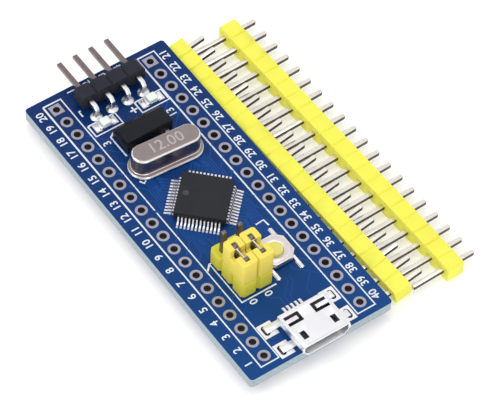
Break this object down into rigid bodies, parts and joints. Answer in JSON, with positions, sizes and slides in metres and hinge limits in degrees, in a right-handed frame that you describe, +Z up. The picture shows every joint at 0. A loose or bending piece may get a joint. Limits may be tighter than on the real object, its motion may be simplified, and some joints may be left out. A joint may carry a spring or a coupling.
{
  "type": "microcontroller dev board",
  "caption": "Microcontroller dev board with two hole rows, a turned quad flat chip, crystals, reset switch, jumpered boot header, debug header and micro-USB, plus loose header strips.",
  "frame": {"origin": "centre of the two hole rows, on the underside of the laminate", "axes": "+X along the board towards the micro-USB receptacle, +Y across it towards the loose strips, +Z up from its component side"},
  "size_m": [0.0566, 0.0372, 0.01],
  "materials": {
    "laminate": "blue solder mask over glass-fibre laminate, gloss",
    "copper": "tinned copper, satin",
    "solder": "solder, bright satin",
    "mould": "black moulding compound, matt",
    "lead": "tin-plated leads, satin",
    "die": "silicon, polished",
    "steel": "drawn steel, satin",
    "can": "nickel-plated crystal case, satin",
    "glass_seal": "sealing glass",
    "quartz": "quartz blank",
    "white_ceramic": "white moulded resin, matt",
    "lens": "clear lens resin",
    "plunger": "pale yellow nylon, matt",
    "pin": "plated header pins, satin",
    "black_plastic": "black header plastic, matt",
    "cap_yellow": "pale yellow jumper plastic, matt",
    "bar_yellow": "bright yellow header plastic, satin",
    "base_yellow": "yellow header plastic, matt",
    "capacitor": "ceramic capacitor body, matt",
    "resistor": "resistor overglaze, gloss"
  },
  "bodies": {
    "board": {"pcb_laminate": "laminate", "near_row_barrels": "copper", "far_row_barrels": "copper", "part_barrels": "copper", "usb_slot_barrels": "copper", "top_lands": "copper", "mcu_lands": "copper", "bottom_lands": "copper", "pin_solder": "solder", "usb_tab_solder": "solder", "mcu_package": "mould", "regulator_package": "mould", "rtc_crystal_body": "mould", "mcu_leads": "lead", "mcu_paddle": "lead", "rtc_crystal_terminals": "lead", "led_terminals": "lead", "reset_contacts": "lead", "regulator_leads": "lead", "capacitor_terminals": "lead", "resistor_terminals": "lead", "crystal_leads": "lead", "crystal_clips": "lead", "mcu_die": "die", "led_chips": "die", "reset_cover": "steel", "reset_dome": "steel", "usb_shell": "steel", "rtc_crystal_tube": "steel", "crystal_can": "can", "crystal_base": "can", "crystal_glass_seals": "glass_seal", "crystal_blank": "quartz", "led_bases": "white_ceramic", "led_lenses": "lens", "reset_housing": "black_plastic", "boot_header_pins": "pin", "swd_header_pins": "pin", "usb_contacts": "pin", "boot_header_body": "base_yellow", "swd_header_body": "black_plastic", "usb_tongue": "black_plastic", "capacitor_bodies": "capacitor", "resistor_bodies": "resistor"},
    "reset_button": {"reset_plunger": "plunger"},
    "jumper_cap_a": {"jumper_cap_a_shell": "cap_yellow", "jumper_cap_a_clip": "steel"},
    "jumper_cap_b": {"jumper_cap_b_shell": "cap_yellow", "jumper_cap_b_clip": "steel"},
    "near_strip": {"near_strip_bar": "bar_yellow", "near_strip_pins": "pin"},
    "far_strip": {"far_strip_bar": "bar_yellow", "far_strip_pins": "pin"}
  },
  "joints": [
    {"name": "reset_press", "type": "slide", "parent": "board", "child": "reset_button", "axis": [0, 0, -1], "range_m": [0, 0.0002], "stiffness_N_per_m": 8000, "deforming": ["reset_dome"]},
    {"name": "cap_a_pull", "type": "slide", "parent": "board", "child": "jumper_cap_a", "axis": [0, 0, 1], "range_m": [0, 0.0055]},
    {"name": "cap_b_pull", "type": "slide", "parent": "board", "child": "jumper_cap_b", "axis": [0, 0, 1], "range_m": [0, 0.0055]},
    {"name": "near_strip_slide", "type": "slide", "parent": "board", "child": "near_strip", "axis": [-0.0244, 0.9997, 0], "range_m": [0, 0.012]},
    {"name": "far_strip_lift", "type": "slide", "parent": "near_strip", "child": "far_strip", "axis": [0, 0, 1], "range_m": [0, 0.01]}
  ]
}
